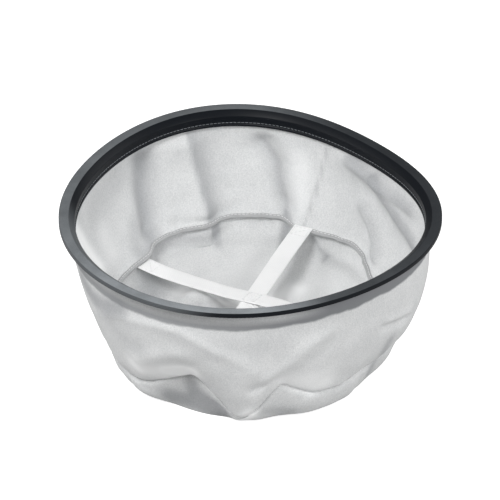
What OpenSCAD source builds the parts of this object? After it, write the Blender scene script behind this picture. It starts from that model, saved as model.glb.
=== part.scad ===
// Cloth filter bag with a rubber rim, for a drum-type dust collector.
// The bag stands on the ground at z = 0 with its mouth up. The origin is below the middle of the rim.

/* [Rim ring] */
// Outer diameter of the rubber rim
rim_d = 380; // [300:1:480]
// Height of the rim's top face above the ground
stand_h = 160; // [120:1:240]
// Width of the flat sealing face on top
face_w = 10; // [6:0.5:11]
// Thickness of the overhanging flange
flange_t = 5; // [3:0.5:8]
// Depth of the rim from its top face to the bead's lower edge
rim_depth = 16.5; // [13:0.5:24]
// Overhang of the flange beyond the sleeve
overhang = 13.5; // [12:0.5:20]
// Wall thickness of the sleeve that the cloth is sewn to
sleeve_t = 2.6; // [1.5:0.1:3]
// Height of the bead at the sleeve's lower edge
bead_h = 3; // [2:0.5:5]
// How far the bead stands in from the sleeve
bead_out = 1; // [0.5:0.1:2]
// Height of the bevel from the sealing face down to the sleeve's inner wall
throat_h = 5; // [3:0.5:8]
// Depth of the groove under the flange that the cloth's edge lies in
edge_groove = 1; // [0.4:0.1:2]
// Bevel on the flange's two outer edges
edge_bevel = 0.8; // [0.3:0.1:1.2]

/* [Cloth] */
// Thickness of the felt
cloth_t = 1.5; // [0.8:0.1:2.5]
// Diameter of the bottom seam between two strap ends
seam_d = 328; // [280:1:340]
// Height of the bottom seam above the ground
seam_h = 46; // [36:1:70]
// How much higher the seam lies at the back than in the middle
seam_tilt = 4; // [0:0.5:8]
// Diameter of the flat part of the bottom that touches the ground
floor_d = 250; // [200:1:260]
// How far each strap end pulls the seam in
pull_in = 18; // [6:1:24]
// Angle over which a strap end pulls the seam in
pull_spread = 22; // [14:1:30]

/* [Straps] */
// Width of the straps
strap_w = 20; // [12:1:30]
// Thickness of the straps
strap_t = 1.2; // [0.8:0.1:2]
// Direction of the strap that passes on top
upper_strap_az = 142; // [130:1:160]
// Direction of the strap that passes below, which is also that of the side seam
lower_strap_az = 68; // [50:1:80]
// How far the lower strap bows up at its middle
strap_bow = 5; // [0:0.5:12]

/* [Seams] */
// Width of the binding tape on the bottom seam
tape_w = 9; // [6:0.5:14]
// Thickness of the binding tape
tape_t = 0.8; // [0.5:0.1:1.5]
// Thickness of the sewing thread
thread_t = 0.8; // [0.4:0.1:1]
// Distance between the two rows of the side seam
row_gap = 6; // [4:0.5:10]
// Side of a box stitch along the strap
box_stitch_l = 14; // [8:0.5:18]

/* [Hidden] */

$fn = 180;
// Clearance between pieces that are sewn together, and between the thread and what it sews
sew_gap = 0.3;
// Steps round the cloth, down the wall, and round the bottom's corner
around = 72;
down = 8;
corner = 7;

rim_r = rim_d / 2;
face_in_r = rim_r - face_w;
sleeve_r = rim_r - overhang;
sleeve_in_r = sleeve_r - sleeve_t;
flange_z = stand_h - flange_t;
rim_low_z = stand_h - rim_depth;
// The cloth's top edge lies in the groove under the flange, outside the sleeve
wall_top_z = flange_z + edge_groove - sew_gap;
wall_top_r = sleeve_r + sew_gap + cloth_t;
// The flange's flat underside starts outside the cloth and its row of thread
seat_in_r = wall_top_r + 3 * sew_gap + thread_t;
seam_r = seam_d / 2;
floor_r = floor_d / 2;
// How sharply the wall turns in towards the seam, and its steps, which are closer near the seam
wall_turn = 2.2;
wall_steps = [for (i = [0:down]) sin(90 * i / down)];
corner_steps = [for (i = [0:corner]) 90 * i / corner];
strap_ends = [upper_strap_az, upper_strap_az + 180, lower_strap_az, lower_strap_az + 180];
// Insets from the wall's outer face: the tape, the thread on the tape, and the ends of the straps
tape_inset = cloth_t + sew_gap;
thread_inset = tape_inset + tape_t + sew_gap;
strap_inset = thread_inset + thread_t + sew_gap;
// Undersides of the straps at the crossing, where they lie flat for flat_half each way
lower_mid_z = seam_h + tape_w / 2 + strap_bow;
upper_mid_z = lower_mid_z + strap_t + sew_gap;
flat_half = strap_w / 2 + 4;
// Steps along each bowed half of a strap
strap_steps = 7;
// The end stitches lie this far in from a strap's end, and this far in from its edges
stitch_margin = 1.6;
box_stitch_w = strap_w - 2 * stitch_margin;

// Smallest angle between two directions
function apart(a, b) = let (d = abs(a - b) % 360) min(d, 360 - d);

// Radius and height of the bottom seam in direction a
function seam_radius(a) =
    seam_r - pull_in * max([for (e = strap_ends) exp(-pow(apart(a, e) / pull_spread, 2))]);
function seam_z(a) = seam_h + seam_tilt * sin(a);

// A point of the wall in direction a, at share t of the way from the sleeve's lower edge to the
// seam, moved in by inset. The share is negative on the sleeve, where the wall is straight.
function wall_radius(a, t) = wall_top_r - (wall_top_r - seam_radius(a)) * pow(max(0, t), wall_turn);
function wall_z(a, t) = rim_low_z + (seam_z(a) - rim_low_z) * t;
function wall_slope(a, t) =
    (wall_top_r - seam_radius(a)) * wall_turn * pow(max(0, t), wall_turn - 1) / (rim_low_z - seam_z(a));
// The inset is square to the wall, so it is longer along the radius where the wall leans
function inset_radius(a, t, inset) = wall_radius(a, t) - inset * norm([1, wall_slope(a, t)]);
function wall_point(a, t, inset) =
    let (r = inset_radius(a, t, inset)) [r * cos(a), r * sin(a), wall_z(a, t)];

// The share t at height z, and at rise above the seam
function share_at(a, z) = (rim_low_z - z) / (rim_low_z - seam_z(a));
function wall_share(a, rise) = share_at(a, seam_z(a) + rise);

// A point of the bottom's rounded corner in direction a, at angle c round the corner
function corner_point(a, c, inset) =
    let (r = floor_r + (seam_radius(a) - floor_r - inset) * cos(c))
    [r * cos(a), r * sin(a), inset + (seam_z(a) - inset) * (1 - sin(c))];

// Faces that join each of n loops of m points to the next one, and the last to the first if closed
function closed_faces(n, m, closed) = [
    for (k = [0:n - (closed ? 1 : 2)], i = [0:m - 1])
        let (p = k * m + i, q = k * m + (i + 1) % m, s = ((k + 1) % n) * m)
        each [[p, q, s + i], [q, s + (i + 1) % m, s + i]]
];

// A closed ring through the given sections, which are closed loops of as many points each
module swept_ring(sections) {
    n = len(sections);
    m = len(sections[0]);
    polyhedron([for (s = sections) each s], closed_faces(n, m, true));
}

// A band that follows the wall: rise_low and rise_high above the seam, between two insets
module wall_band(rise_low, rise_high, inset_out, inset_in) {
    swept_ring([
        for (k = [0:around - 1])
            let (a = 360 * k / around, t0 = wall_share(a, rise_high), t1 = wall_share(a, rise_low))
            [wall_point(a, t0, inset_out), wall_point(a, t1, inset_out),
             wall_point(a, t1, inset_in), wall_point(a, t0, inset_in)]
    ]);
}

// An open box of thread with one diagonal, flat on the ground and centred
module box_stitch(l, w) {
    linear_extrude(thread_t) {
        difference() {
            square([l, w], center = true);
            square([l - 2 * thread_t, w - 2 * thread_t], center = true);
        }
        rotate(atan2(w - thread_t, l - thread_t))
            square([norm([l - 2 * thread_t, w - 2 * thread_t]), thread_t], center = true);
    }
}

// Length of a strap's half that ends in direction az, and the height of its underside there
function strap_reach(az) = inset_radius(az, wall_share(az, tape_w / 2), strap_inset);
function strap_end_z(az) = seam_z(az) + tape_w / 2;

// Height of a strap's underside at distance s along it, flat in the middle and bowed to its ends
function bow_z(az, mid_z, s) =
    let (end_az = s < 0 ? az + 180 : az,
         share = max(0, (abs(s) - flat_half) / (strap_reach(end_az) - flat_half)))
    mid_z + (strap_end_z(end_az) - mid_z) * pow(share, 1.5);

// Distances along the half that ends in direction az, from the flat middle out
function half_stations(az) =
    [for (i = [0:strap_steps]) flat_half + (strap_reach(az) - flat_half) * i / strap_steps];

module strap(az, mid_z) {
    back = half_stations(az + 180);
    stations = concat([for (i = [strap_steps:-1:0]) -back[i]], half_stations(az));
    last = len(stations) - 1;
    rotate([0, 0, az]) rotate([90, 0, 0]) linear_extrude(strap_w, center = true)
        polygon(concat(
            [for (s = stations) [s, bow_z(az, mid_z, s)]],
            [for (i = [last:-1:0]) [stations[i], bow_z(az, mid_z, stations[i]) + strap_t]]
        ));
}

// The box stitches on a strap's upper face, just in from its two ends
module end_stitches(az, mid_z) {
    for (turn = [0, 180]) {
        side = turn == 0 ? 1 : -1;
        s_out = strap_reach(az + turn) - stitch_margin;
        s_in = s_out - box_stitch_l;
        z_out = bow_z(az, mid_z, side * s_out);
        z_in = bow_z(az, mid_z, side * s_in);
        rotate([0, 0, az + turn])
            translate([(s_out + s_in) / 2, 0, (z_out + z_in) / 2 + strap_t + sew_gap])
                rotate([0, atan2(z_in - z_out, box_stitch_l), 0])
                    box_stitch(box_stitch_l, box_stitch_w);
    }
}

module rim_seal() {
    color("#33383d") rotate_extrude() polygon([
        [face_in_r, stand_h],
        [rim_r - edge_bevel, stand_h],
        [rim_r, stand_h - edge_bevel],
        [rim_r, flange_z + edge_bevel],
        [rim_r - edge_bevel, flange_z],
        [seat_in_r, flange_z],
        [seat_in_r, flange_z + edge_groove],
        [sleeve_r, flange_z + edge_groove],
        [sleeve_r, rim_low_z],
        [sleeve_in_r - bead_out, rim_low_z],
        [sleeve_in_r - bead_out, rim_low_z + bead_h - bead_out],
        [sleeve_in_r, rim_low_z + bead_h],
        [sleeve_in_r, stand_h - throat_h]
    ]);
}

module wall_cloth() {
    color("#dfe2e3") swept_ring([
        for (k = [0:around - 1])
            let (a = 360 * k / around, shares = concat([share_at(a, wall_top_z)], wall_steps),
                 last = len(shares) - 1)
            concat([for (t = shares) wall_point(a, t, 0)],
                   [for (i = [last:-1:0]) wall_point(a, shares[i], cloth_t)])
    ]);
}

module bottom_cloth() {
    m = 2 * (corner + 1);
    loops = [
        for (k = [0:around - 1])
            let (a = 360 * k / around)
            concat([for (c = corner_steps) corner_point(a, c, 0)],
                   [for (i = [corner:-1:0]) corner_point(a, corner_steps[i], cloth_t)])
    ];
    low_mid = around * m;
    side = [
        for (k = [0:around - 1], i = [0:m - 1])
            if (i != corner)
                let (p = k * m + i, q = k * m + (i + 1) % m, s = ((k + 1) % around) * m)
                each [[p, q, s + i], [q, s + (i + 1) % m, s + i]]
    ];
    flat = [
        for (k = [0:around - 1])
            let (s = (k + 1) % around)
            each [[k * m + corner, low_mid, s * m + corner],
                  [k * m + corner + 1, s * m + corner + 1, low_mid + 1]]
    ];
    color("#dfe2e3") polyhedron(concat([for (l = loops) each l], [[0, 0, 0], [0, 0, cloth_t]]),
                                concat(side, flat));
}

module seam_tape() {
    color("#eceeef") wall_band(sew_gap, tape_w, tape_inset, tape_inset + tape_t);
}

module upper_strap() {
    color("white") strap(upper_strap_az, upper_mid_z);
}

module lower_strap() {
    color("white") strap(lower_strap_az, lower_mid_z);
}

// The row that holds the wall to the sleeve shows on the cloth outside and above the bead inside
module rim_stitching() {
    color("#4a4f54") rotate_extrude()
        for (r = [wall_top_r + sew_gap + thread_t / 2, sleeve_in_r - sew_gap - thread_t / 2])
            translate([r, rim_low_z + bead_h + thread_t]) circle(d = thread_t, $fn = 24);
}

// One row of the side seam's thread, on the wall's inner face in direction a
module seam_row(a) {
    half = thread_t / 2 / wall_top_r * 180 / PI;
    out = cloth_t + sew_gap;
    t_high = share_at(a, rim_low_z - thread_t);
    t_low = wall_share(a, tape_w + thread_t);
    steps = concat([t_high], [for (t = wall_steps) if (t > t_high && t < t_low) t], [t_low]);
    last = 4 * len(steps) - 1;
    polyhedron(
        [for (t = steps) each [wall_point(a - half, t, out), wall_point(a + half, t, out),
                               wall_point(a + half, t, out + thread_t),
                               wall_point(a - half, t, out + thread_t)]],
        concat([[0, 1, 2, 3]], [[last, last - 1, last - 2, last - 3]],
               closed_faces(len(steps), 4, false)));
}

module side_seam_stitching() {
    color("#c4c7c9") for (side = [-1, 1])
        seam_row(lower_strap_az + side * row_gap / 2 / wall_top_r * 180 / PI);
}

module bottom_seam_stitching() {
    color("#c4c7c9") wall_band((tape_w - thread_t) / 2, (tape_w + thread_t) / 2, thread_inset,
                               thread_inset + thread_t);
}

module strap_end_stitching() {
    color("#c4c7c9") {
        end_stitches(upper_strap_az, upper_mid_z);
        end_stitches(lower_strap_az, lower_mid_z);
    }
}

module cross_stitching() {
    color("#c4c7c9") rotate([0, 0, upper_strap_az])
        translate([0, 0, upper_mid_z + strap_t + sew_gap]) box_stitch(box_stitch_l, box_stitch_w);
}

rim_seal();
wall_cloth();
bottom_cloth();
seam_tape();
upper_strap();
lower_strap();
rim_stitching();
side_seam_stitching();
bottom_seam_stitching();
strap_end_stitching();
cross_stitching();
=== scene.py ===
"""Cloth filter bag of a drum dust collector: rubber rim, felt bag, bound seam and crossed straps."""
import math

import bpy
from mathutils import Matrix, Vector, noise


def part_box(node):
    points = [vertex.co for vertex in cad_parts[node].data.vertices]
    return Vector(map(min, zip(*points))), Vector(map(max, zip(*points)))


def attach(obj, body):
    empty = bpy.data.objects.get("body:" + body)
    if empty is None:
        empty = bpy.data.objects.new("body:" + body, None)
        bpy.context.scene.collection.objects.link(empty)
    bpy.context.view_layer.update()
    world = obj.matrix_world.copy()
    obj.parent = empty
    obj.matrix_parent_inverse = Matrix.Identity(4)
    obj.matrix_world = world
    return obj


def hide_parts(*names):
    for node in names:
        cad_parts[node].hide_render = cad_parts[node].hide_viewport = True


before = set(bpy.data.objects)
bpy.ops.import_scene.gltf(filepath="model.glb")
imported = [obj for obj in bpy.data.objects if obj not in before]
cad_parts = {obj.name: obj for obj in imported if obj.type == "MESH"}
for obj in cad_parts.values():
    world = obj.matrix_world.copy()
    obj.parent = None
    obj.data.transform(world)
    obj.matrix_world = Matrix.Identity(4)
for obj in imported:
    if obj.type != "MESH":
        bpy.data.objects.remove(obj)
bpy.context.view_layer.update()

MM = 0.001
UP = Vector((0, 0, 1))

# ---- Sizes from the frame ----
RIM_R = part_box("rim_seal")[1].x
STAND_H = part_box("rim_seal")[1].z
RIM_LOW_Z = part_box("rim_seal")[0].z
WALL_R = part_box("wall_cloth")[1].x
WALL_TOP_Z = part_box("wall_cloth")[1].z

# ---- The rubber rim's section, as in the frame ----
FACE_W = 10 * MM
FLANGE_T = 5 * MM
OVERHANG = 13.5 * MM
SLEEVE_T = 2.6 * MM
BEAD_H = 3 * MM
BEAD_OUT = 1 * MM
THROAT_H = 5 * MM
GROOVE_W = 3.5 * MM
GROOVE_H = 1 * MM
EDGE_BEVEL = 0.7 * MM
RIM_STEPS = 240
# The free rim isn't quite round: waves round it, as how many, how big, and the direction of a crest
RIM_WAVES = [(1, 3 * MM, -171), (2, 1.2 * MM, -72), (3, 5.6 * MM, -14), (4, 2.3 * MM, 1)]
RIM_SHRINK = 0.8 * MM

# ---- Cloth, tape, straps and thread ----
CLOTH_T = 1.2 * MM
TAPE_T = 0.45 * MM
TAPE_GAP = 0.1 * MM
STRAP_W = 20 * MM
STRAP_T = 1.2 * MM
STRAP_BEVEL = 0.4 * MM
THREAD_T = 0.6 * MM
TWIST_L = 1.2 * MM
STITCH_L = 4 * MM
STITCH_GAP = 0.9 * MM
# The rows of stitches round the rim run this far above the bead
RIM_ROW_RISE = 1.2 * MM
# The raw edges stand inwards at the bottom seam this far, and droop by this many degrees
ALLOWANCE_W = 3.4 * MM
ALLOWANCE_DROOP = 8
# The side seam has two rows of stitches this far apart
ROW_GAP = 6 * MM
# A box of stitches on a strap: its length, and its distance from the strap's end and sides
BOX_L = 14 * MM
BOX_END_GAP = 3 * MM
BOX_SIDE_GAP = 2 * MM

# ---- How finely the cloth is divided ----
AROUND = 288
SLEEVE_ROWS = 3
# Shares of the wall, from the bead down to the seam, of the bottom, from the seam to its middle, and
# of the raw edges
WALL_SHARES = [row / 33 for row in range(32)] + [0.96, 0.97, 0.98, 0.99, 1]
BOTTOM_SHARES = [1, 0.988, 0.976, 0.964] + [share / 100 for share in range(95, 70, -2)]
BOTTOM_SHARES += [0.685, 0.66, 0.63, 0.6]
ALLOWANCE_SHARES = [0.3, 0.6, 0.9]
# Steps of a strap from one station to the next
STRAP_STEPS = 8

# ---- The shape of the bag, in degrees and millimetres ----
# The seam's thread pulls the cloth in this far, over this height
SEAM_NIP = 2.2
NIP_H = 2.6
# Small creases: how far apart, how deep, how much deeper near the seam, and how high that reaches
CRUMPLE_PITCH = 24
CRUMPLE_D = 0.5
CRUMPLE_SEAM_D = 1.6
CRUMPLE_SEAM_H = 22
# Share of the bottom, from its middle, that lies flat
FLAT_SHARE = 0.72

# The bottom seam all the way round, as (direction, radius, height)
SEAM = [
    (12, 140, 46), (22, 134, 46), (42, 150, 50), (63, 148, 50), (68, 146, 50), (73, 150, 50),
    (79, 161, 50), (90, 163, 50), (101, 157, 50), (106, 149, 50), (119, 149, 50), (132, 147, 50),
    (138, 139.5, 48), (146, 139, 47), (158, 140, 45), (170, 143, 40), (185, 146, 35), (200, 148, 29),
    (215, 150, 22), (227, 152, 28), (236, 152, 40), (244, 147, 47), (248, 145, 49), (254, 148, 41),
    (261, 151, 22), (266, 154, 12), (273, 160, 28), (281, 158, 51), (286, 158, 46), (292, 160, 39),
    (298, 159, 36), (303, 157, 34), (312, 154, 34), (319, 148, 31), (329, 147, 31), (337, 152, 36),
    (348, 155, 44), (360, 151, 46),
]
# Where the bottom meets the floor, or starts to lie flat, as (direction, radius, height, fullness).
# The fullness is how far the side below the seam bulges: 1 to the seam's radius, and 0 not at all.
FOOT = [
    (30, 132, 26, 0.9), (60, 134, 25, 0.9), (90, 138, 26, 0.9), (130, 134, 28, 0.9), (150, 112, 14, 0.5),
    (180, 122, 2, 0.9), (215, 128, 0, 0.9), (228, 132, 0, 0.8), (238, 133, 0, 0.2), (252, 135, 0, 0.1),
    (260, 135, 0, 0.2), (266, 137, 0, 0.3), (273, 134, 0, 0.6), (285, 129, 0, 0.85), (300, 128, 0, 0.9),
    (325, 126, 0, 0.9), (350, 122, 5, 0.9),
]
# How late the wall turns in towards the seam, as (direction, power)
WALL_TURN = [(0, 3.5), (60, 2), (120, 2), (180, 1.6), (215, 1.8), (240, 3), (265, 2.6), (290, 2.8),
             (320, 3.2), (340, 4)]
# The wall is laid out flat to place its folds: millimetres along it for one degree round
DEGREE_W = 2.8
# Lines that creases of the wall follow, as (direction, height), downwards
SIDE_SEAM = [(61.5, 143), (64.3, 100), (67.5, 50)]
LEFT_FOLD = [(128.3, 133), (128, 123), (128.6, 108), (129.4, 93), (130.3, 79), (131, 66), (133, 57)]
MIDDLE_FOLD = [(110, 143), (109.2, 116), (108.2, 98), (107.3, 80), (106.4, 65), (106.3, 54)]
RIGHT_FOLD = [(85.5, 120), (84.1, 113), (80.7, 98), (80.2, 83), (78.8, 69), (76.9, 59)]
LONG_CREASE = [(50.5, 137), (43.5, 132), (37, 128), (31.5, 119), (25, 111), (18, 106), (9, 101)]
SHORT_CREASE = [(37.3, 134), (30.4, 129), (24, 128), (16, 128)]
LOW_CREASE = [(43, 92), (37, 80), (31, 66), (28, 60)]
SHOULDER = [(212.5, 99), (222.4, 114), (229.4, 120), (241, 126), (247.8, 124.7), (254.2, 114.7),
            (267, 94.7), (272, 80)]
# Folds of the wall, as (height, width on one side, on the other, sharpness, path). The path is
# directions and heights. The first width is on its left, as seen from outside. Outwards is positive.
WALL_FOLDS = [
    (7, 11, 11, 2, LEFT_FOLD),
    (-10, 30, 13, 1.3, MIDDLE_FOLD),
    (12, 11, 11, 1.8, RIGHT_FOLD),
    (-11, 13, 16, 1.6, LONG_CREASE),
    (-7, 7, 8, 1.7, SHORT_CREASE),
    (-8, 9, 10, 2, LOW_CREASE),
    (-14, 15, 15, 2.4, [(241, 22), (255, 18)]),
    (2.2, 5, 8, 1.6, SHOULDER),
    (3, 10, 12, 2, [(231, 68), (239, 84), (245, 93)]),
    (-4, 4, 4, 1.3, [(271.6, 56), (275.3, 61), (279.2, 65.5)]),
    (2.8, 9, 9, 1.8, [(297.5, 117), (290, 105), (283.7, 87), (277, 67)]),
    (3, 4, 4, 2, [(322, 97), (329, 92), (334, 90)]),
    (-5, 4, 4, 1.5, [(320.7, 91), (328, 84.5), (334, 80)]),
]
# Painted shade and painted light on the cloth: shade along the folds, in hollows and under the straps,
# light where the lamps should fall more. The same way as the folds, as (greyness, width on one side, on the
# other, sharpness, path), with painted light negative
WALL_PAINTED_SHADE = [
    # Painted shade along the long folds
    (0.9, 12, 14, 2.2, LEFT_FOLD),
    (0.8, 2.5, 16, 1.6, MIDDLE_FOLD),
    (0.6, 9, 4, 2, RIGHT_FOLD),
    (0.8, 11, 8, 3, LONG_CREASE),
    (0.75, 5, 5, 2, SHORT_CREASE),
    (0.45, 8, 8, 2, LOW_CREASE),
    (0.5, 1.6, 1.6, 2, SIDE_SEAM),
    # Painted shade at the back and sides
    (0.9, 12, 12, 3, [(203, 122), (211, 114), (218, 117), (225, 127)]),
    (0.45, 9, 9, 3, [(104, 38), (131, 40)]),
    (0.45, 5, 5, 3, [(103.5, 46), (103.5, 31)]),
    (0.9, 7, 6, 3, [(75, 50), (75, 32)]),
    (0.6, 2.5, 2.5, 2, [(64, 42), (60, 31), (54.8, 27)]),
    (0.35, 3, 3, 2, [(54.8, 27), (42.6, 26.7), (30.2, 27.4)]),
    (0.3, 3, 5, 2, [(34, 56), (31, 42), (27, 34)]),
    (0.3, 18, 18, 3, [(141, 122), (156, 112)]),
    (0.5, 9, 9, 2, [(139, 72), (143, 58)]),
    (0.7, 7, 7, 2, [(325, 16), (329, 27), (326, 53), (326, 65)]),
    # Painted shade at the front
    (0.8, 8, 8, 3, [(246, 42), (247, 28)]),
    (0.8, 8, 8, 3, [(251, 26), (258, 16)]),
    (1, 12, 12, 3, [(237, 15), (259, 9)]),
    (0.6, 7, 7, 2, [(275, 22), (285, 14)]),
    (0.28, 14, 14, 2, [(222, 93), (231, 90)]),
    (0.22, 14, 14, 2, [(262, 114), (278, 112)]),
    # Painted light
    (-1, 30, 9, 2.4, [(175.5, 128), (171.9, 105), (168.3, 76), (167, 66)]),
    (-0.3, 13, 13, 3, [(73, 112), (71, 70)]),
    (-0.3, 14, 14, 2, [(156, 92), (157, 68)]),
    (-0.9, 9, 9, 2, [(267, 4), (271, 20)]),
    (-0.85, 15, 15, 2.4, [(228, 54), (246, 63)]),
    (-0.9, 9, 9, 2.4, [(242, 62), (250, 68)]),
    (-0.5, 13, 13, 2.4, [(283, 61), (297, 52)]),
]
# Folds of the bottom, and its painted shade and light, the same way, along paths of (x, y)
BOTTOM_FOLDS = [
    (-5, 4, 10, 1.2, [(33, 154), (32, 136)]),
    (-3, 10, 3, 1.2, [(-31, 146), (-29, 132)]),
    (-24, 22, 20, 2, [(-52, 50), (-38, 12)]),
    (-8, 10, 10, 2, [(-66, 44), (-46, 34)]),
    (-13, 40, 40, 2, [(20, 24), (32, 62)]),
]
# Painted shade of the bottom, in its hollows and where the straps' shadows fall, and painted light where
# negative
BOTTOM_PAINTED_SHADE = [
    (0.75, 17, 17, 3, [(-100, 62), (-98, 82)]),
    (0.3, 6, 6, 2, [(-37, 52), (-25, 67), (-9, 66), (2, 60)]),
    (-0.9, 11, 11, 3, [(-66, 68), (-50, 46)]),
    (0.4, 8, 8, 2, [(-64, 26), (-44, 20)]),
    (-1, 8, 8, 2, [(-28, 54), (-12, 54)]),
    (-0.3, 26, 26, 3, [(-12, 92), (4, 108)]),
    (-0.9, 11, 11, 2, [(24, 50), (46, 70)]),
    (-0.35, 38, 38, 3, [(72, 36), (80, 66)]),
]

# Middle lines of the straps' undersides, as (x, y, z in millimetres, roll in degrees)
UPPER_STRAP = [
    (-108.2, 78.3, 43.5, 0), (-80, 59.3, 42, 0), (-25, 22.5, 45.8, -2), (3, 5, 49.5, -2), (33, -15, 53, -2),
    (75, -44, 50, 0), (121, -77, 35.5, 0),
]
LOWER_STRAP = [
    (55.5, 133.5, 51, 0), (36.5, 88, 49.5, 0), (13, 28, 48, 0), (4, 5, 47.8, 0), (-10, -30, 47, 0),
    (-34, -90, 49, 0), (-51, -132, 50, 0),
]


# ---- Small helpers ----
def polar(az, radius, z):
    """A point in direction az, in degrees."""
    return Vector((radius * math.cos(math.radians(az)), radius * math.sin(math.radians(az)), z))


def azimuth(point):
    """The direction of a point, in degrees."""
    return math.degrees(math.atan2(point.y, point.x))


def smooth_share(value):
    """Eases from 0 to 1 as value does."""
    value = max(0, min(1, value))
    return value * value * (3 - 2 * value)


def rim_wave(az):
    """How far the rim stands out of its true circle in direction az."""
    waves = (size * math.cos(count * math.radians(az - crest)) for count, size, crest in RIM_WAVES)
    return sum(waves) - RIM_SHRINK


def round_curve(stations, az):
    """Smooth values at direction az on a closed curve through stations, which start with a direction."""
    count = len(stations)
    az = az % 360
    after = next((i for i, station in enumerate(stations) if station[0] > az), count)
    picked = []
    for step in (-2, -1, 0, 1):
        turn, index = divmod(after + step, count)
        picked.append((stations[index][0] + 360 * turn, stations[index][1:]))
    (a0, p0), (a1, p1), (a2, p2), (a3, p3) = picked
    share = (az - a1) / (a2 - a1)
    square, cube = share ** 2, share ** 3
    values = []
    for v0, v1, v2, v3 in zip(p0, p1, p2, p3):
        lead = (v2 - v0) / (a2 - a0) * (a2 - a1)
        trail = (v3 - v1) / (a3 - a1) * (a2 - a1)
        values.append((2 * cube - 3 * square + 1) * v1 + (cube - 2 * square + share) * lead
                      + (3 * square - 2 * cube) * v2 + (cube - square) * trail)
    return values


def running_lengths(points):
    """How far along the line through the points each of them lies."""
    lengths = [0]
    for start, end in zip(points, points[1:]):
        lengths.append(lengths[-1] + (end - start).length)
    return lengths


def nothing_selected():
    if bpy.context.mode != "OBJECT":
        bpy.ops.object.mode_set(mode="OBJECT")
    bpy.ops.object.select_all(action="DESELECT")


def pick(piece):
    """Selects the piece alone."""
    nothing_selected()
    piece.select_set(True)
    bpy.context.view_layer.objects.active = piece


def edit(piece):
    """Enters edit mode with all of the piece selected."""
    pick(piece)
    bpy.ops.object.mode_set(mode="EDIT")
    bpy.ops.mesh.select_all(action="SELECT")


def turn_outwards():
    """Turns all faces of the piece in edit mode outwards, and leaves edit mode."""
    bpy.ops.mesh.select_all(action="SELECT")
    bpy.ops.mesh.normals_make_consistent(inside=False)
    bpy.ops.object.mode_set(mode="OBJECT")


def select_edges(piece, wanted):
    """Leaves selected, in edit mode, the edges for which wanted(ends) holds."""
    edit(piece)
    bpy.ops.mesh.select_mode(type="EDGE")
    bpy.ops.mesh.select_all(action="DESELECT")
    bpy.ops.object.mode_set(mode="OBJECT")
    points = piece.data.vertices
    for edge in piece.data.edges:
        edge.select = wanted([points[i].co for i in edge.vertices])
    bpy.ops.object.mode_set(mode="EDIT")


def finish_modifier(piece, kind, **settings):
    pick(piece)
    modifier = piece.modifiers.new(kind.lower(), kind)
    for key, value in settings.items():
        setattr(modifier, key, value)
    bpy.ops.object.modifier_apply(modifier=modifier.name)


def smooth_by_angle(piece, degrees):
    pick(piece)
    bpy.ops.object.shade_smooth_by_angle(angle=math.radians(degrees))


def new_piece(name, points, faces):
    mesh = bpy.data.meshes.new(name)
    mesh.from_pydata(points, [], faces)
    piece = bpy.data.objects.new(name, mesh)
    bpy.context.scene.collection.objects.link(piece)
    return piece


def joined(name, pieces):
    nothing_selected()
    for piece in pieces:
        piece.select_set(True)
    bpy.context.view_layer.objects.active = pieces[0]
    bpy.ops.object.join()
    pieces[0].name = name
    return pieces[0]


def settle(piece, node, material):
    """The piece rides on the bag, stands for its node and takes its finish."""
    piece.data.materials.clear()
    piece.data.materials.append(material)
    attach(piece, "root")
    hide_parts(node)
    return piece


# ---- The camera ----
CAMERA_DISTANCE = 8
CAMERA_ELEVATION = 33.2
CAMERA_LENS = 576.5
CAMERA_AIM = Vector((0.0008, 0, 0.1107))


def make_camera():
    data = bpy.data.cameras.new("camera")
    data.lens = CAMERA_LENS
    data.sensor_width = 36
    data.clip_end = 50
    camera = bpy.data.objects.new("camera", data)
    bpy.context.scene.collection.objects.link(camera)
    rise = math.radians(CAMERA_ELEVATION)
    camera.location = CAMERA_AIM + CAMERA_DISTANCE * Vector((0, -math.cos(rise), math.sin(rise)))
    camera.rotation_euler = (math.pi / 2 - rise, 0, 0)
    bpy.context.scene.camera = camera


# ---- Light, floor and world ----
WORLD_LEVEL = 0.27
FLOOR_COLOUR = (0.52, 0.52, 0.52, 1)
FLOOR_GLOW = 0.85
LIGHT_AIM = Vector((0, 0, 0.08))
# Softboxes, as (name, direction, elevation, distance, width, watts)
SOFTBOXES = [
    ("key_softbox", 234, 51, 2.2, 0.65, 29),
    ("left_softbox", 186, 32, 2.2, 1, 13),
    ("fill_softbox", 316, 32, 2.2, 1, 23),
    ("rim_softbox", 22, 28, 2.2, 1.2, 11),
]


def make_world():
    """An even light, with a white ground behind the object."""
    world = bpy.data.worlds.new("studio")
    world.use_nodes = True
    tree = world.node_tree
    light = tree.nodes["Background"]
    light.inputs["Color"].default_value = (1, 1, 1, 1)
    light.inputs["Strength"].default_value = WORLD_LEVEL
    shown = place(tree, "Background", {"Color": (1, 1, 1, 1)})
    seen = place(tree, "LightPath").outputs["Is Camera Ray"]
    mix = place(tree, "MixShader", {0: seen, 1: light.outputs[0], 2: shown.outputs[0]})
    tree.links.new(mix.outputs[0], tree.nodes["World Output"].inputs["Surface"])
    bpy.context.scene.world = world


def make_lights():
    for name, az, elevation, distance, width, power in SOFTBOXES:
        data = bpy.data.lights.new(name, "AREA")
        data.size = width
        data.energy = power
        lamp = bpy.data.objects.new(name, data)
        bpy.context.scene.collection.objects.link(lamp)
        rise = math.radians(elevation)
        lamp.location = LIGHT_AIM + polar(az, distance * math.cos(rise), distance * math.sin(rise))
        lamp.rotation_euler = (lamp.location - LIGHT_AIM).to_track_quat("Z", "Y").to_euler()


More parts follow.
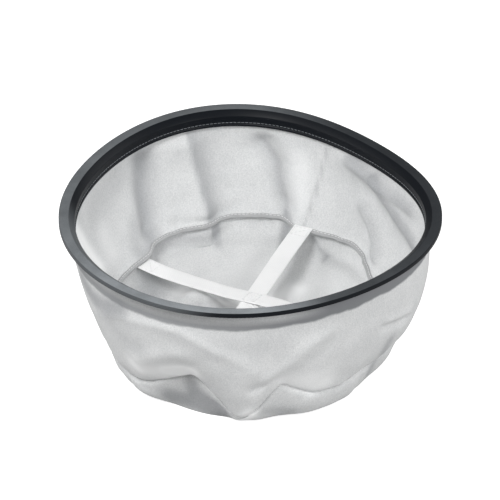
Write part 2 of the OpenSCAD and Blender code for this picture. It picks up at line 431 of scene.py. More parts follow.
def make_floor():
    """A floor that adds light of its own only towards the camera, which sees it white."""
    nothing_selected()
    bpy.ops.mesh.primitive_plane_add(size=8, location=(0, 0, 0))
    floor = bpy.context.active_object
    floor.name = "floor"
    material, tree, principled = new_material("floor_paint", 0.9, 0)
    principled.inputs["Base Color"].default_value = FLOOR_COLOUR
    seen = place(tree, "LightPath").outputs["Is Camera Ray"]
    glow = place(tree, "Emission", {"Strength": times(tree, seen, FLOOR_GLOW)})
    both = place(tree, "AddShader", {0: principled.outputs[0], 1: glow.outputs[0]})
    tree.links.new(both.outputs[0], tree.nodes["Material Output"].inputs["Surface"])
    floor.data.materials.append(material)


# ---- Finishes ----
# Painted shade multiplies the felt's colour by the first, and painted light turns it to the second
PAINTED_SHADE_TINT = (0.58, 0.585, 0.6, 1)
PAINTED_LIGHT_TINT = (0.93, 0.935, 0.935, 1)
# The felt's colour over the dark sleeve and in the flange's painted shadow below it, and how far below the
# sleeve that painted shadow is full, starts to fade and ends
SLEEVE_AND_SHADOW_TINT = (0.205, 0.212, 0.222, 1)
SHADE_FULL = 7 * MM
SHADE_FADE = 9.6 * MM
SHADE_END = 12.8 * MM
# A point high above the bag's middle: inner faces look towards it
ABOVE_MOUTH = (0, 0, 0.2)


def place(tree, kind, inputs=None, **settings):
    """A new shader node. Each input takes a value, or another node's output."""
    node = tree.nodes.new("ShaderNode" + kind)
    for key, value in settings.items():
        setattr(node, key, value)
    for key, value in (inputs or {}).items():
        if isinstance(value, bpy.types.NodeSocket):
            tree.links.new(value, node.inputs[key])
        else:
            node.inputs[key].default_value = value
    return node


def new_group(name, inputs, outputs):
    """An empty node group with float inputs, or vector ones where the default is a triple."""
    group = bpy.data.node_groups.new(name, "ShaderNodeTree")
    for label, default in inputs.items():
        kind = "NodeSocketFloat" if isinstance(default, (int, float)) else "NodeSocketVector"
        group.interface.new_socket(name=label, in_out="INPUT", socket_type=kind).default_value = default
    for label in outputs:
        group.interface.new_socket(name=label, in_out="OUTPUT", socket_type="NodeSocketFloat")
    return group, group.nodes.new("NodeGroupInput"), group.nodes.new("NodeGroupOutput")


def math_node(tree, operation, first, second=0.0):
    return place(tree, "Math", {0: first, 1: second}, operation=operation).outputs[0]


def times(tree, first, second):
    return math_node(tree, "MULTIPLY", first, second)


def remap(tree, value, from_low, from_high, to_low, to_high, smooth=False):
    inputs = {"Value": value, "From Min": from_low, "From Max": from_high,
              "To Min": to_low, "To Max": to_high}
    kind = "SMOOTHSTEP" if smooth else "LINEAR"
    return place(tree, "MapRange", inputs, interpolation_type=kind).outputs[0]


def make_fibre_group():
    """Pressed fibres: a fine grain, strands that cross, and soft clouds where the felt is thicker."""
    group, given, result = new_group("pressed_fibres", {"Vector": (0, 0, 0), "Grain": 900, "Clouds": 60},
                                     ["Tone", "Cloud", "Height"])
    where, grain = given.outputs["Vector"], given.outputs["Grain"]
    fine = place(group, "TexNoise", {"Vector": where, "Scale": grain, "Detail": 2, "Roughness": 0.6})
    cloud = place(group, "TexNoise", {"Vector": where, "Scale": given.outputs["Clouds"], "Detail": 4,
                                      "Roughness": 0.55})
    strands = []
    for turn, stretch in (((0.5, 0.3, 0.9), (1, 1, 0.3)), ((-0.7, 1.1, 0.2), (1, 0.3, 1))):
        laid = place(group, "Mapping", {"Vector": where, "Rotation": turn, "Scale": stretch}).outputs[0]
        strand = place(group, "TexNoise", {"Vector": laid, "Scale": grain, "Detail": 1, "Distortion": 0.6})
        strands.append(strand.outputs["Fac"])
    crossed = math_node(group, "MAXIMUM", *strands)
    tone = math_node(group, "ADD", times(group, fine.outputs["Fac"], 0.6), times(group, crossed, 0.4))
    group.links.new(tone, result.inputs["Tone"])
    group.links.new(cloud.outputs["Fac"], result.inputs["Cloud"])
    group.links.new(math_node(group, "ADD", tone, times(group, cloud.outputs["Fac"], 0.5)),
                    result.inputs["Height"])
    return group


def make_weave_group():
    """Plain weave on the piece's own map: warp and weft pass over each other at every Pitch."""
    group, given, result = new_group("plain_weave", {"Vector": (0, 0, 0), "Pitch": 0.0012},
                                     ["Height", "Tone"])
    split = place(group, "SeparateXYZ", {"Vector": given.outputs["Vector"]})
    steps = []
    for axis in ("X", "Y"):
        turns = math_node(group, "DIVIDE", split.outputs[axis], given.outputs["Pitch"])
        steps.append(times(group, turns, math.pi))
    over = times(group, *(math_node(group, "SINE", step) for step in steps))
    turned = [math_node(group, "ABSOLUTE", math_node(group, "COSINE", step)) for step in steps]
    gaps = times(group, *turned)
    height = math_node(group, "SUBTRACT", remap(group, over, -1, 1, 0, 1), gaps)
    group.links.new(height, result.inputs["Height"])
    group.links.new(remap(group, height, -1, 1, 0, 1, smooth=True), result.inputs["Tone"])
    return group


def make_dust_and_sheen_group():
    """Where fine dust lies and painted sheen falls: on what faces up, in patches."""
    group, given, result = new_group("dust_and_painted_sheen", {"Vector": (0, 0, 0), "Patches": 25, "Reach": 0.5},
                                     ["Mask"])
    facing = place(group, "SeparateXYZ", {"Vector": place(group, "NewGeometry").outputs["Normal"]})
    level = remap(group, facing.outputs["Z"], given.outputs["Reach"], 1, 0, 1, smooth=True)
    patch = place(group, "TexNoise", {"Vector": given.outputs["Vector"], "Scale": given.outputs["Patches"],
                                      "Detail": 5, "Roughness": 0.65})
    patchy = remap(group, patch.outputs["Fac"], 0.3, 0.7, 0.55, 1)
    group.links.new(times(group, level, patchy), result.inputs["Mask"])
    return group


def new_material(name, roughness, specular, sheen=0):
    material = bpy.data.materials.new(name)
    material.use_nodes = True
    tree = material.node_tree
    principled = tree.nodes["Principled BSDF"]
    principled.inputs["Roughness"].default_value = roughness
    principled.inputs["Specular IOR Level"].default_value = specular
    principled.inputs["Sheen Weight"].default_value = sheen
    return material, tree, principled


def tint(tree, principled, factor, dark, light):
    """The base colour runs from dark to light as the factor goes from 0 to 1."""
    mix = place(tree, "Mix", {0: factor, 6: (*dark, 1), 7: (*light, 1)}, data_type="RGBA")
    tree.links.new(mix.outputs[2], principled.inputs["Base Color"])
    return mix.outputs[2]


def emboss(tree, principled, height, depth, strength):
    bump = place(tree, "Bump", {"Height": height, "Distance": depth, "Strength": strength})
    tree.links.new(bump.outputs[0], principled.inputs["Normal"])


def make_felt(fibres):
    """Pressed white felt, with painted shade and painted light from the tables, and darker over the dark
    sleeve and in the flange's painted shadow below it.
    """
    material, tree, principled = new_material("felt", 0.85, 0.25, sheen=0.1)
    place_on = place(tree, "TexCoord").outputs["Object"]
    grain = place(tree, "Group", {"Vector": place_on, "Grain": 800, "Clouds": 45}, node_tree=fibres)
    fleck = remap(tree, grain.outputs["Tone"], 0.38, 0.66, 0, 1)
    cloudy = remap(tree, grain.outputs["Cloud"], 0.35, 0.65, -0.12, 0.12)
    colour = tint(tree, principled, math_node(tree, "ADD", fleck, cloudy), (0.56, 0.57, 0.575),
                  (0.71, 0.715, 0.715))
    split = place(tree, "SeparateXYZ", {"Vector": place_on})
    across, height = split.outputs["X"], split.outputs["Z"]
    from_mouth = place(tree, "VectorMath", {0: place_on, 1: ABOVE_MOUTH}, operation="SUBTRACT").outputs[0]
    away = place(tree, "VectorMath", {0: place(tree, "NewGeometry").outputs["Normal"], 1: from_mouth},
                 operation="DOT_PRODUCT").outputs["Value"]
    # Painted shade from the tables darkens the felt, and painted light whitens it where negative
    painted_shade_light = place(tree, "Attribute", attribute_name="painted_shade_light").outputs["Fac"]
    colour = place(tree, "Mix", {0: painted_shade_light, 6: colour, 7: PAINTED_SHADE_TINT}, data_type="RGBA",
                   blend_type="MULTIPLY").outputs[2]
    # Painted light: it whitens the cloth's inner face, and the outer one only at the front
    painted_light_faces = math_node(tree, "MAXIMUM", remap(tree, away, 0, -0.02, 0, 1),
                         remap(tree, split.outputs["Y"], -0.05, -0.02, 1, 0))
    painted_light = times(tree, times(tree, painted_shade_light, -1), painted_light_faces)
    colour = place(tree, "Mix", {0: painted_light, 6: colour, 7: PAINTED_LIGHT_TINT}, data_type="RGBA").outputs[2]
    # Partly the dark sleeve seen through the cloth, mostly painted shadow of the flange: the cloth is
    # darker over the sleeve and about a centimetre below it, reaching lower on the right, least at the top
    # of the front and left
    ragged = math_node(tree, "ADD", height, remap(tree, grain.outputs["Cloud"], 0.3, 0.7, -0.0012, 0.0012))
    edge = math_node(tree, "SUBTRACT", ragged, times(tree, across, 0.008))
    shadow_reach = remap(tree, edge, RIM_LOW_Z - SHADE_END, RIM_LOW_Z - SHADE_FADE, 0, 1, smooth=True)
    top = remap(tree, across, 0.03, 0.08, 0.3, 1)
    shadow_strength = times(tree, remap(tree, height, RIM_LOW_Z - SHADE_FULL, RIM_LOW_Z, 1, top),
                remap(tree, across, -0.06, 0.09, 0.78, 1))
    shown = times(tree, times(tree, shadow_reach, shadow_strength), remap(tree, away, 0.07, 0.12, 0, 1))
    colour = place(tree, "Mix", {0: shown, 6: colour, 7: SLEEVE_AND_SHADOW_TINT}, data_type="RGBA").outputs[2]
    tree.links.new(colour, principled.inputs["Base Color"])
    tree.links.new(remap(tree, grain.outputs["Tone"], 0.3, 0.7, 0.78, 0.95), principled.inputs["Roughness"])
    emboss(tree, principled, grain.outputs["Height"], 0.0004, 0.35)
    return material


def make_rubber(sheen_dust_group, fibres):
    """Black rubber, lightened by fine dust and by painted sheen."""
    material, tree, principled = new_material("rubber", 0.45, 0.14)
    place_on = place(tree, "TexCoord").outputs["Object"]
    top_sheen_dust = place(tree, "Group", {"Vector": place_on, "Patches": 18, "Reach": 0.88}, node_tree=sheen_dust_group)
    grain = place(tree, "Group", {"Vector": place_on, "Grain": 1500, "Clouds": 30}, node_tree=fibres)
    # Painted sheen and dust: the face is lighter at the front and left, where the lamps' reflection falls,
    # and dark on the right; the far left, throat too, gets painted light
    where = place(tree, "SeparateXYZ", {"Vector": place_on})
    right = remap(tree, where.outputs["X"], 0, 0.11, 1, 0.2, smooth=True)
    front = remap(tree, where.outputs["Y"], -0.15, 0, 1, 0.55, smooth=True)
    leftwards = math_node(tree, "ADD", times(tree, where.outputs["X"], -0.82),
                     times(tree, where.outputs["Y"], -0.57))
    left = remap(tree, leftwards, 0.13, 0.17, 0, 0.34, smooth=True)
    top_dust_and_sheen = times(tree, top_sheen_dust.outputs["Mask"], times(tree, right, front))
    dust_and_sheen = times(tree, math_node(tree, "MAXIMUM", top_dust_and_sheen, left),
                  remap(tree, grain.outputs["Tone"], 0.35, 0.65, 0.75, 1))
    tint(tree, principled, dust_and_sheen, (0.004, 0.0055, 0.008), (0.28, 0.3, 0.315))
    tree.links.new(remap(tree, top_sheen_dust.outputs["Mask"], 0, 1, 0.4, 0.62), principled.inputs["Roughness"])
    emboss(tree, principled, grain.outputs["Height"], 0.0002, 0.25)
    return material


def make_woven(name, weave, fibres, pitch, dark, light, roughness):
    """Woven tape or webbing, with threads pitch apart."""
    material, tree, principled = new_material(name, roughness, 0.35, sheen=0.15)
    along = place(tree, "UVMap").outputs[0]
    woven = place(tree, "Group", {"Vector": along, "Pitch": pitch}, node_tree=weave)
    place_on = place(tree, "TexCoord").outputs["Object"]
    grain = place(tree, "Group", {"Vector": place_on, "Grain": 1200, "Clouds": 50}, node_tree=fibres)
    shade = math_node(tree, "ADD", times(tree, woven.outputs["Tone"], 0.7),
                      remap(tree, grain.outputs["Cloud"], 0.3, 0.7, 0, 0.3))
    tint(tree, principled, shade, dark, light)
    tree.links.new(remap(tree, woven.outputs["Tone"], 0, 1, roughness + 0.1, roughness - 0.1),
                   principled.inputs["Roughness"])
    emboss(tree, principled, woven.outputs["Height"], 0.0003, 0.6)
    return material


def make_thread(name, dark, light):
    """Two plies twisted round each other: the map's first axis runs along the stitch."""
    material, tree, principled = new_material(name, 0.55, 0.45, sheen=0.1)
    split = place(tree, "SeparateXYZ", {"Vector": place(tree, "UVMap").outputs[0]})
    along = times(tree, split.outputs["X"], 2 * math.pi / TWIST_L)
    round_it = times(tree, split.outputs["Y"], 4 * math.pi)
    ply = remap(tree, math_node(tree, "SINE", math_node(tree, "ADD", along, round_it)), -1, 1, 0, 1)
    tint(tree, principled, ply, dark, light)
    tree.links.new(remap(tree, ply, 0, 1, 0.65, 0.45), principled.inputs["Roughness"])
    emboss(tree, principled, ply, 0.0001, 0.6)
    return material


# ---- The rubber rim ----
def inset_and_drop(width, drop):
    """Insets the selected face by width, or extrudes it where width is 0, and lowers it by drop."""
    if width:
        bpy.ops.mesh.inset(thickness=width, use_even_offset=True)
    else:
        bpy.ops.mesh.extrude_region_move(TRANSFORM_OT_translate={"value": (0, 0, 0)})
    if drop:
        bpy.ops.transform.translate(value=(0, 0, -drop))


def on_outer_edge(ends):
    """Whether both ends lie on the outer edge of the sealing face."""
    return all(p.z > STAND_H - 1e-5 and p.xy.length > RIM_R + rim_wave(azimuth(p)) - 1e-4 for p in ends)


def make_rim():
    nothing_selected()
    bpy.ops.mesh.primitive_circle_add(vertices=RIM_STEPS, radius=RIM_R, fill_type="NGON",
                                      location=(0, 0, STAND_H))
    rim = bpy.context.active_object
    rim.name = "rubber_rim"
    bpy.ops.object.transform_apply(location=True, rotation=True, scale=True)
    for vertex in rim.data.vertices:
        az = azimuth(vertex.co)
        vertex.co = polar(az, RIM_R + rim_wave(az), STAND_H)
    edit(rim)
    # From the sealing face down the throat to the bead
    inset_and_drop(FACE_W, 0)
    inset_and_drop(OVERHANG + SLEEVE_T - FACE_W, THROAT_H)
    inset_and_drop(0, STAND_H - RIM_LOW_Z - THROAT_H - BEAD_H)
    inset_and_drop(BEAD_OUT, BEAD_OUT)
    inset_and_drop(0, BEAD_H - BEAD_OUT)
    bpy.ops.mesh.delete(type="ONLY_FACE")
    # From the sealing face's outer edge down the flange, under it, and down the sleeve's outside
    select_edges(rim, on_outer_edge)
    bpy.ops.mesh.extrude_region_move(TRANSFORM_OT_translate={"value": (0, 0, -FLANGE_T)})
    bpy.ops.mesh.edge_face_add()
    inset_and_drop(OVERHANG - GROOVE_W, 0)
    inset_and_drop(0, -GROOVE_H)
    inset_and_drop(GROOVE_W, 0)
    inset_and_drop(0, STAND_H - FLANGE_T + GROOVE_H - RIM_LOW_Z)
    bpy.ops.mesh.delete(type="ONLY_FACE")
    select_edges(rim, lambda ends: all(p.z < RIM_LOW_Z + 1e-5 for p in ends))
    bpy.ops.mesh.bridge_edge_loops()
    turn_outwards()
    finish_modifier(rim, "BEVEL", width=EDGE_BEVEL, segments=3, limit_method="ANGLE",
                    angle_limit=math.radians(30))
    smooth_by_angle(rim, 40)
    return rim


# ---- The bag ----
def fold_height(folds, x, y):
    """The height at (x, y) of folds that run along paths in that plane."""
    total = 0
    for height, left_w, right_w, sharpness, path in folds:
        nearest, side = None, 1
        for (ax, ay), (bx, by) in zip(path, path[1:]):
            run_x, run_y = bx - ax, by - ay
            along = ((x - ax) * run_x + (y - ay) * run_y) / (run_x ** 2 + run_y ** 2)
            along = max(0, min(1, along))
            away_x, away_y = x - ax - along * run_x, y - ay - along * run_y
            distance = math.hypot(away_x, away_y)
            if nearest is None or distance < nearest:
                nearest = distance
                side = run_x * away_y - run_y * away_x
        total += height * math.exp(-(nearest / (left_w if side > 0 else right_w)) ** sharpness)
    return total


def laid_flat(folds):
    """The same folds, with their paths in millimetres along the flat wall."""
    return [(*fold[:4], [(az * DEGREE_W, z) for az, z in fold[4]]) for fold in folds]


WALL_PATHS = laid_flat(WALL_FOLDS)
PAINTED_SHADE_PATHS = laid_flat(WALL_PAINTED_SHADE)


def crumple(az, radius, z, seam_z):
    """How far small creases of the limp cloth push it in or out."""
    spot = polar(az, radius, z * 0.8) / CRUMPLE_PITCH
    depth = CRUMPLE_D + CRUMPLE_SEAM_D * math.exp(-((z - seam_z) / CRUMPLE_SEAM_H) ** 2)
    return (abs(noise.noise(spot)) - 0.2) * 2 * depth + noise.noise(spot * 0.5) * depth


def wall_at(az, share):
    """The wall's outer face in direction az: share is 0 at the bead and 1 at the bottom seam."""
    seam_r, seam_z = round_curve(SEAM, az)
    top_r = (WALL_R + rim_wave(az)) / MM
    low_z = RIM_LOW_Z / MM
    z = low_z + (seam_z - low_z) * share
    turned = max(0, share) ** round_curve(WALL_TURN, az)[0]
    radius = top_r + (seam_r - top_r) * turned
    # The folds fade out near the sleeve and near the seam
    clear = smooth_share(share * 6) * smooth_share((1 - share) * 7)
    radius += fold_height(WALL_PATHS, az * DEGREE_W, z) * clear
    radius += crumple(az, radius, z, seam_z) * smooth_share(share * 4)
    radius -= SEAM_NIP * math.exp(-((z - seam_z) / NIP_H) ** 2)
    return polar(az, radius, z) * MM


def bottom_at(az, share):
    """The bottom's outer face: share is 1 at the seam and 0 in the middle."""
    seam_r, seam_z = round_curve(SEAM, az)
    foot_r, foot_z, fullness = round_curve(FOOT, az)
    if share > FLAT_SHARE:
        rise = (share - FLAT_SHARE) / (1 - FLAT_SHARE)
        corner_r = foot_r + (seam_r - foot_r) * fullness
        corner_z = foot_z + (seam_z - foot_z) * 0.05
        radius = (1 - rise) ** 2 * foot_r + 2 * rise * (1 - rise) * corner_r + rise * rise * seam_r
        z = (1 - rise) ** 2 * foot_z + 2 * rise * (1 - rise) * corner_z + rise * rise * seam_z
    else:
        radius = foot_r * share / FLAT_SHARE
        z = foot_z * (share / FLAT_SHARE) ** 3
    side = smooth_share((share - FLAT_SHARE) * 9)
    radius += fold_height(WALL_PATHS, az * DEGREE_W, z) * side * smooth_share((1 - share) * 12)
    radius += crumple(az, radius, z, seam_z) * side
    radius -= SEAM_NIP * math.exp(-((z - seam_z) / NIP_H) ** 2)
    return polar(az, radius, z) * MM


def allowance_at(az, share):
    """Where the two raw edges meet, from the seam, 0, to their ends, 1."""
    seam_r, seam_z = round_curve(SEAM, az)
    seam_r += crumple(az, seam_r, seam_z, seam_z)
    reach = share * ALLOWANCE_W / MM
    droop = math.radians(ALLOWANCE_DROOP)
    return polar(az, seam_r - SEAM_NIP - reach * math.cos(droop), seam_z - reach * math.sin(droop)) * MM


def tube(name, rows):
    """A tube through rows of points, each row once round."""
    around = len(rows[0])
    faces = []
    for row in range(len(rows) - 1):
        for step in range(around):
            a = row * around + step
            b = row * around + (step + 1) % around
            faces.append((b, a, a + around, b + around))
    return new_piece(name, [point for row in rows for point in row], faces)


def map_strip(piece, rows, around):
    """The piece's own map, in metres: the first axis along a row, the second across the rows."""
    layer = piece.data.uv_layers.new(name="cloth_map")
    points = piece.data.vertices
    middle = rows // 2 * around
    along = running_lengths([points[middle + step % around].co for step in range(around + 1)])
    across = running_lengths([points[row * around].co for row in range(rows)])
    for face in piece.data.polygons:
        steps = [piece.data.loops[i].vertex_index % around for i in face.loop_indices]
        wraps = max(steps) - min(steps) > 1
        for i, step in zip(face.loop_indices, steps):
            row = piece.data.loops[i].vertex_index // around
            full = around if wraps and step == 0 else step
            layer.data[i].uv = (along[full], across[row])


def round_directions():
    """The directions of the cloth's columns."""
    return [360 * step / AROUND for step in range(AROUND)]


def make_wall():
    """The wall in rows, from the sleeve down to the seam and in to the raw edge."""
    rows = []
    for row in range(SLEEVE_ROWS, 0, -1):
        rise = (WALL_TOP_Z - RIM_LOW_Z) * row / SLEEVE_ROWS
        rows.append([wall_at(az, 0) + rise * UP for az in round_directions()])
    for share in WALL_SHARES:
        rows.append([wall_at(az, share) for az in round_directions()])
    for share in ALLOWANCE_SHARES:
        rows.append([allowance_at(az, share) for az in round_directions()])
    return tube("bag_wall", rows)


def make_bottom():
    """The disc is laid out as rings with a grid in the middle, then each point goes to its place."""
    rows = [[polar(az, 1 + share, 0) for az in round_directions()] for share in ALLOWANCE_SHARES[::-1]]
    rows += [[polar(az, share, 0) for az in round_directions()] for share in BOTTOM_SHARES]
    bottom = tube("bag_bottom", rows)
    inner = BOTTOM_SHARES[-1]
    select_edges(bottom, lambda ends: all(point.length < inner + 1e-3 for point in ends))
    bpy.ops.mesh.fill_grid(span=AROUND // 4, offset=0)
    bpy.ops.object.mode_set(mode="OBJECT")
    for vertex in bottom.data.vertices:
        share = vertex.co.xy.length
        az = azimuth(vertex.co)
        vertex.co = bottom_at(az, share) if share < 1.01 else allowance_at(az, share - 1)
    edit(bottom)
    turn_outwards()
    if sum(face.normal.z * face.area for face in bottom.data.polygons) > 0:
        bottom.data.flip_normals()
    # The bottom's own folds fade out near the seam, and none sinks into the floor
    moves = []
    for vertex in bottom.data.vertices:
        rise = fold_height(BOTTOM_FOLDS, vertex.co.x / MM, vertex.co.y / MM)
        seam_z = round_curve(SEAM, azimuth(vertex.co))[1]
        moves.append(vertex.normal * rise * MM * smooth_share((seam_z - vertex.co.z / MM) / 5))
    for vertex, move in zip(bottom.data.vertices, moves):
        vertex.co += move
        vertex.co.z = max(0, vertex.co.z)
    return bottom


def paint_shade_and_light(piece):
    """Stores on the piece's points the painted shade and painted light from the tables, for its finish."""
    layer = piece.data.attributes.new("painted_shade_light", "FLOAT", "POINT")
    for vertex, value in zip(piece.data.vertices, layer.data):
        x, y, z = vertex.co / MM
        grey = fold_height(PAINTED_SHADE_PATHS, azimuth(vertex.co) % 360 * DEGREE_W, z)
        grey *= smooth_share((math.hypot(x, y) - 95) / 20)
        value.value = grey + fold_height(BOTTOM_PAINTED_SHADE, x, y) * smooth_share((60 - z) / 10)


def thicken_cloth(piece):
    """Gives the sheet its thickness, inwards from its outer face."""
    paint_shade_and_light(piece)
    finish_modifier(piece, "SOLIDIFY", thickness=CLOTH_T, offset=-1, use_rim=True)
    for face in piece.data.polygons:
        face.use_smooth = True


# ---- The binding tape ----
def make_tape():
    """The tape is folded round the two raw edges: over the top, round their ends and back below."""
    droop = math.radians(ALLOWANCE_DROOP)
    half = CLOTH_T + TAPE_GAP
    reaches = [share * ALLOWANCE_W for share in (0.12, 0.4, 0.7, 0.92)]
    section = [(reach, half) for reach in reaches]
    for turn in range(30, 180, 30):
        bend = math.radians(turn)
        section.append((reaches[-1] + half * math.sin(bend), half * math.cos(bend)))
    section += [(reach, -half) for reach in reaches[::-1]]
    rows = []
    for reach, rise in section:
        row = []
        for az in round_directions():
            start = allowance_at(az, 0)
            inwards = polar(az, -1, 0)
            along = inwards * math.cos(droop) - UP * math.sin(droop)
            across = inwards * math.sin(droop) + UP * math.cos(droop)
            row.append(start + along * reach + across * rise)
        rows.append(row)
    tape = tube("binding_tape", rows)
    map_strip(tape, len(rows), AROUND)
    if tape.data.polygons[0].normal.z < 0:
        tape.data.flip_normals()
    finish_modifier(tape, "SOLIDIFY", thickness=TAPE_T, offset=1, use_rim=True)
    smooth_by_angle(tape, 50)
    return tape


# ---- The straps ----
def strap_path(stations):
    """Evenly spread points, with roll, on a smooth line through the stations."""
    points = []
    ends = [stations[0], *stations, stations[-1]]
    for i in range(1, len(ends) - 2):
        p0, p1, p2, p3 = (Vector(p) for p in ends[i - 1:i + 3])
        for step in range(STRAP_STEPS):
            share = step / STRAP_STEPS
            bend = (2 * p0 - 5 * p1 + 4 * p2 - p3) * share * share
            points.append(0.5 * (2 * p1 + (p2 - p0) * share + bend
                                 + (3 * p1 - p0 - 3 * p2 + p3) * share ** 3))
    points.append(Vector(stations[-1]))
    return points


def make_strap(name, stations):
    """A flat strip along the stations, thickened upwards."""
    path = strap_path(stations)
    points, faces = [], []
    across = 4
    row = across + 1
    for i, station in enumerate(path):
        ahead = path[min(i + 1, len(path) - 1)].xyz - path[max(i - 1, 0)].xyz
        side = ahead.cross(UP).normalized()
        side = Matrix.Rotation(math.radians(station.w), 3, ahead.normalized()) @ side
        for k in range(row):
            shift = (k / across - 0.5) * STRAP_W
            points.append(station.xyz * MM + side * shift)
    for i in range(len(path) - 1):
        for k in range(across):
            a = i * row + k
            faces.append((a, a + 1, a + row + 1, a + row))
    strap = new_piece(name, points, faces)
    layer = strap.data.uv_layers.new(name="cloth_map")
    lengths = running_lengths([station.xyz * MM for station in path])
    for loop in strap.data.loops:
        i, k = divmod(loop.vertex_index, row)
        layer.data[loop.index].uv = (lengths[i], k / across * STRAP_W)
    if strap.data.polygons[0].normal.z < 0:
        strap.data.flip_normals()
    finish_modifier(strap, "SOLIDIFY", thickness=STRAP_T, offset=1)
    finish_modifier(strap, "BEVEL", width=STRAP_BEVEL, segments=2, limit_method="ANGLE",
                    angle_limit=math.radians(40))
    smooth_by_angle(strap, 50)
    return strap


# ---- Stitches ----
def make_stitch(name):
    """One stitch of thread, laid along x: it rises out of the cloth, runs flat and sinks again."""
    nothing_selected()
    half = (STITCH_L - STITCH_GAP) / 2
    bpy.ops.mesh.primitive_circle_add(vertices=6, radius=THREAD_T / 4, fill_type="NGON",
                                      location=(-half, 0, -THREAD_T / 3), rotation=(0, math.pi / 2, 0))
    stitch = bpy.context.active_object
    stitch.name = name
    bpy.ops.object.transform_apply(location=True, rotation=True, scale=True)
    edit(stitch)
    # Each length of it, as (share of the stitch, rise in threads, growth)
    lengths = [(0.1, 0.3, 1.8), (0.2, 0.2, 1.1), (0.4, 0, 1), (0.2, -0.2, 0.9), (0.1, -0.3, 0.55)]
    for share, rise, grow in lengths:
        bpy.ops.mesh.extrude_region_move(
            TRANSFORM_OT_translate={"value": (2 * half * share, 0, rise * THREAD_T)})
        bpy.ops.transform.resize(value=(1, grow, grow))
    turn_outwards()
    layer = stitch.data.uv_layers.new(name="cloth_map")
    for loop in stitch.data.loops:
        point = stitch.data.vertices[loop.vertex_index].co
        layer.data[loop.index].uv = (point.x, math.atan2(point.y, point.z) / (2 * math.pi))
    for face in stitch.data.polygons:
        face.use_smooth = True
    return stitch


def spread(seam):
    """The middle of each stitch on the seam, with the way along it and the way up."""
    lengths = running_lengths([point for point, _ in seam])
    count = max(1, round(lengths[-1] / STITCH_L))
    i = 0
    for k in range(count):
        reach = lengths[-1] * (k + 0.5) / count
        while lengths[i + 1] < reach:
            i += 1
        (a, up_a), (b, up_b) = seam[i], seam[i + 1]
        share = (reach - lengths[i]) / (lengths[i + 1] - lengths[i])
        yield a.lerp(b, share), (b - a).normalized(), up_a.lerp(up_b, share).normalized()


def sew(name, seams):
    """Copies of one stitch along each seam, which is points with the way up at each."""
    master = make_stitch(name)
    laid = []
    for seam in seams:
        for middle, along, up in spread(seam):
            across = up.cross(along).normalized()
            turn = Matrix((along, across, along.cross(across))).transposed().to_4x4()
            copy = bpy.data.objects.new(name, master.data.copy())
            copy.data.transform(Matrix.Translation(middle) @ turn)
            bpy.context.scene.collection.objects.link(copy)
            laid.append(copy)
    bpy.data.objects.remove(master)
    return joined(name, laid)


def rim_seams():
    """A row round the sleeve's inner face, just above the bead, and one round the cloth outside it."""
    height = RIM_LOW_Z + BEAD_H + RIM_ROW_RISE
    inner = RIM_R - OVERHANG - SLEEVE_T
    rows = []
    for radius, side in ((inner - THREAD_T / 4, -1), (WALL_R + THREAD_T / 4, 1)):
        rows.append([(polar(az, radius + rim_wave(az), height), polar(az, side, 0))
                     for az in range(0, 361, 2)])
    return rows


def bottom_seams():
    """A row along the tape's upper face and one along its lower face."""
    droop = math.radians(ALLOWANCE_DROOP)
    rows = []
    for side in (1, -1):
        row = []
        for step in range(241):
            az = step * 1.5
            up = polar(az, -math.sin(droop), math.cos(droop)) * side
            rise = CLOTH_T + TAPE_T + THREAD_T / 4
            row.append((allowance_at(az, 0.6) + up * rise, up))
        rows.append(row)
    return rows


def side_seam_point(share, shift):
    """A point on the wall's outer face along the side seam, shift metres to one side."""
    top_az, low_az = SIDE_SEAM[0][0], SIDE_SEAM[-1][0]
    az = top_az + (low_az - top_az) * share + math.degrees(shift / WALL_R)
    return wall_at(az, share)


def side_seams():
    """Two rows down the side seam, on the wall's inner face and on its outer one."""
    rows = []
    for shift in (-ROW_GAP / 2, ROW_GAP / 2):
        for lift, side in ((-CLOTH_T - THREAD_T / 4, -1), (THREAD_T / 4, 1)):
            row = []
            for step in range(25):
                share = 0.02 + 0.93 * step / 24
                point = side_seam_point(share, shift)
                out = polar(azimuth(point), 1, 0)
                row.append((point + out * lift, out * side))
            rows.append(row)
    return rows


def strap_frame(stations, distance):
    """The middle of the strap's upper face that far along it, with the ways across and up."""
    path = strap_path(stations)
    travelled = 0
    for start, end in zip(path, path[1:]):
        length = (end.xyz - start.xyz).length * MM
        if travelled + length >= distance:
            break
        travelled += length
    along = (end.xyz - start.xyz).normalized()
    point = start.xyz * MM + along * (distance - travelled)
    side = Matrix.Rotation(math.radians(start.w), 3, along) @ along.cross(UP).normalized()
    up = side.cross(along)
    return point + up * (STRAP_T + THREAD_T / 4), side, up


def strap_length(stations):
    return running_lengths([point.xyz for point in strap_path(stations)])[-1] * MM


def box_seam(stations, start, end, crossed):
    """A box of stitches on a strap between two distances along it, with one diagonal or two."""
    inset = STRAP_W / 2 - BOX_SIDE_GAP
    corners = []
    for distance, side_share in ((start, -1), (start, 1), (end, 1), (end, -1)):
        point, side, up = strap_frame(stations, distance)
        corners.append((point + side * inset * side_share, up))
    loops = [[corners[i], corners[(i + 1) % 4]] for i in range(4)]
    loops.append([corners[0], corners[2]])
    if crossed:
        loops.append([corners[1], corners[3]])
    return loops


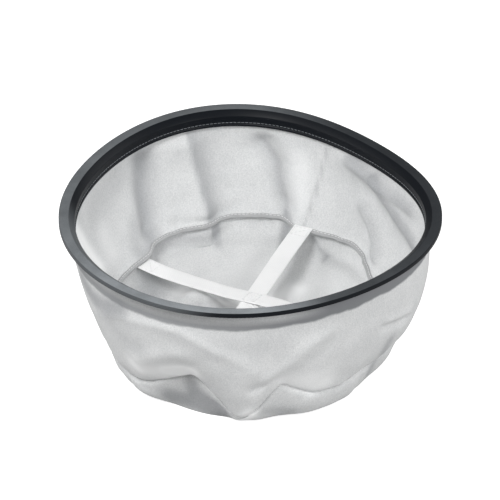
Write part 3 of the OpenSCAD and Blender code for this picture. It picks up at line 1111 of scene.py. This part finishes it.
def end_seams():
    """A box of stitches at each end of both straps."""
    seams = []
    for stations in (UPPER_STRAP, LOWER_STRAP):
        length = strap_length(stations)
        seams += box_seam(stations, BOX_END_GAP, BOX_END_GAP + BOX_L, False)
        seams += box_seam(stations, length - BOX_END_GAP - BOX_L, length - BOX_END_GAP, False)
    return seams


def cross_seams():
    """The crossed box where the upper strap is sewn to the lower one."""
    travelled = strap_length(UPPER_STRAP[:4])
    return box_seam(UPPER_STRAP, travelled - BOX_L / 2, travelled + BOX_L / 2, True)


# ---- Making everything ----
bpy.context.scene.view_settings.view_transform = "Standard"
make_camera()
make_world()
make_lights()
make_floor()

fibres = make_fibre_group()
weave = make_weave_group()
rubber = make_rubber(make_dust_and_sheen_group(), fibres)
felt = make_felt(fibres)
webbing = make_woven("webbing", weave, fibres, 1.3 * MM, (0.84, 0.845, 0.845), (0.94, 0.94, 0.94), 0.7)
# The binding's grey is painted shade: it darkens the tape to the shade of the seam's crease
binding = make_woven("binding", weave, fibres, 0.7 * MM, (0.36, 0.365, 0.37), (0.48, 0.485, 0.49), 0.8)
grey = make_thread("grey_thread", (0.12, 0.13, 0.14), (0.3, 0.32, 0.34))
white = make_thread("white_thread", (0.72, 0.725, 0.73), (0.86, 0.86, 0.865))

rim = settle(make_rim(), "rim_seal", rubber)
wall = make_wall()
bottom = make_bottom()
for cloth in (wall, bottom):
    thicken_cloth(cloth)
settle(wall, "wall_cloth", felt)
settle(bottom, "bottom_cloth", felt)
tape = settle(make_tape(), "seam_tape", binding)
upper = settle(make_strap("strap_over", UPPER_STRAP), "upper_strap", webbing)
lower = settle(make_strap("strap_under", LOWER_STRAP), "lower_strap", webbing)
rim_rows = settle(sew("rim_stitches", rim_seams()), "rim_stitching", grey)
tape_rows = settle(sew("bottom_seam_stitches", bottom_seams()), "bottom_seam_stitching",
                   white)
side_rows = settle(sew("side_seam_stitches", side_seams()), "side_seam_stitching", white)
end_boxes = settle(sew("strap_end_stitches", end_seams()), "strap_end_stitching", white)
cross_box = settle(sew("cross_stitches", cross_seams()), "cross_stitching", white)
